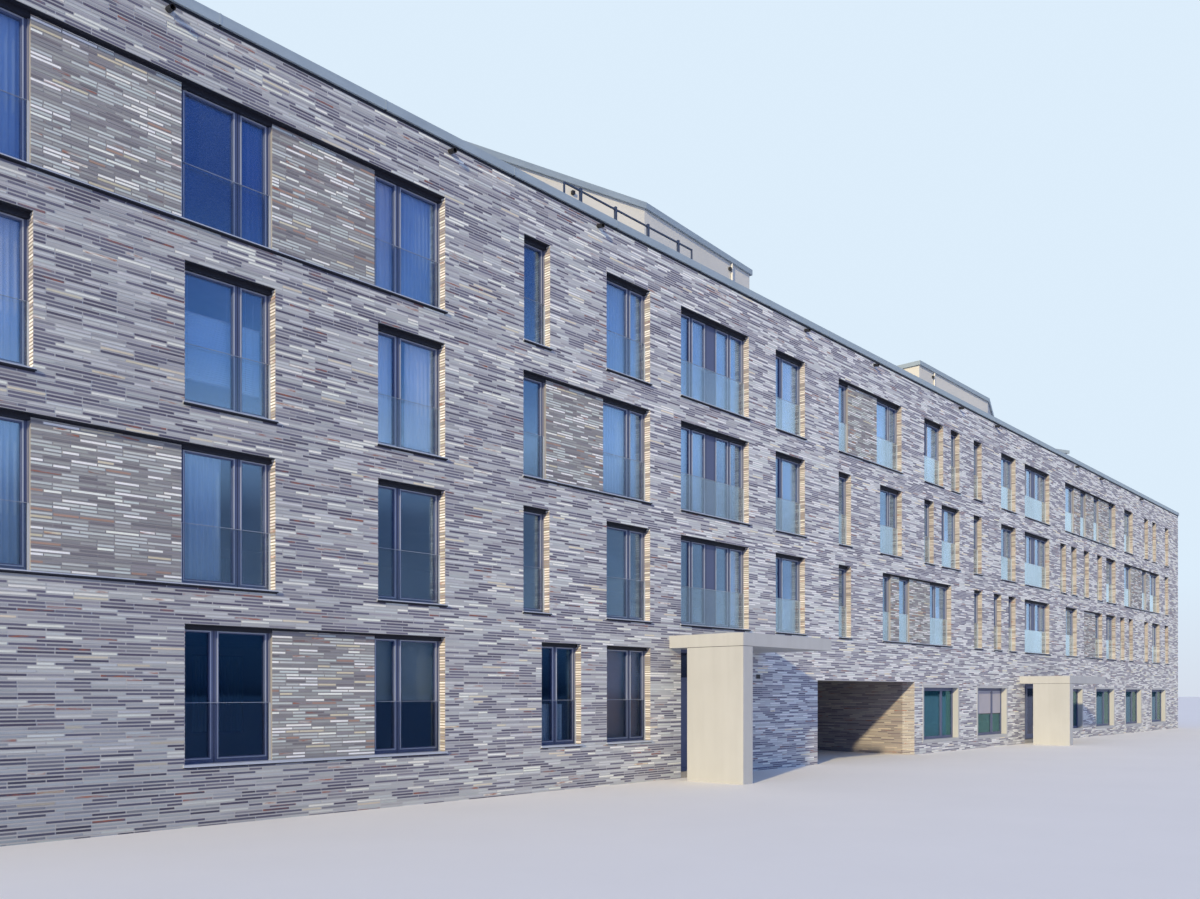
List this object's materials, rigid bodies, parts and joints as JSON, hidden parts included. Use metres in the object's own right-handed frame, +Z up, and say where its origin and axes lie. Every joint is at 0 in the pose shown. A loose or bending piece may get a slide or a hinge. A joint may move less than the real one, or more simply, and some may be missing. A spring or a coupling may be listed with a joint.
{
  "type": "apartment block, 1:2 scale model",
  "caption": "Long four-storey flat-roofed brick apartment block with a passage, canopied entrances, shop windows and set-back penthouses, at half size.",
  "frame": {"origin": "on the ground under the middle of the block's four walls, without the canopies", "axes": "+X along the street front from its left to its right end, +Y from the street front to the rear, +Z up"},
  "size_m": [34.056, 7.638, 7.975],
  "materials": {
    "brick": "rough",
    "panel_brick": "rough",
    "concrete": "smooth",
    "slab_concrete": "matt",
    "render": "matt",
    "frame_metal": "satin",
    "window_glass": "gloss",
    "guard_glass": "gloss",
    "shop_glass": "gloss",
    "light_metal": "satin",
    "dark_metal": "satin",
    "white_metal": "satin"
  },
  "bodies": {
    "block": {"ground_slabs": "slab_concrete", "front_wall_1_left": "brick", "front_wall_1_middle": "brick", "front_wall_1_shops": "brick", "front_wall_1_right": "brick", "lintels": "brick", "front_wall_2": "brick", "front_wall_3": "brick", "front_wall_4": "brick", "rear_wall_1": "brick", "rear_wall_upper": "brick", "left_wall": "brick", "right_wall": "brick", "passage_walls": "brick", "passage_ceiling": "slab_concrete", "floor_slabs": "slab_concrete", "roof_slab": "slab_concrete", "recessed_panels": "panel_brick", "window_frames_front": "frame_metal", "window_frames_rear": "frame_metal", "window_frames_ends": "frame_metal", "window_glass_front": "window_glass", "window_glass_rear": "window_glass", "window_glass_ends": "window_glass", "metal_sills": "light_metal", "guard_glass": "guard_glass", "guard_holders": "light_metal", "shop_surrounds": "concrete", "shop_windows": "frame_metal", "shop_glass": "shop_glass", "canopies": "concrete", "fin_walls": "concrete", "entrance_frames": "frame_metal", "entrance_glass": "window_glass", "roof_coping": "light_metal", "overflow_spouts": "dark_metal", "penthouse_walls": "render", "penthouse_roofs": "light_metal", "downpipes": "white_metal", "wall_fittings": "dark_metal", "terrace_railing": "dark_metal"},
    "door_1": {"door_leaf_1": "frame_metal", "door_glass_1": "window_glass"},
    "door_2": {"door_leaf_2": "frame_metal", "door_glass_2": "window_glass"}
  },
  "joints": [
    {"name": "door_1_hinge", "type": "hinge", "parent": "block", "child": "door_1", "pos_m": [-7.282, -3.11, 0.6], "axis": [0, 0, 1], "range_deg": [0, 90]},
    {"name": "door_2_hinge", "type": "hinge", "parent": "block", "child": "door_2", "pos_m": [4.558, -3.11, 0.6], "axis": [0, 0, 1], "range_deg": [0, 90]}
  ]
}
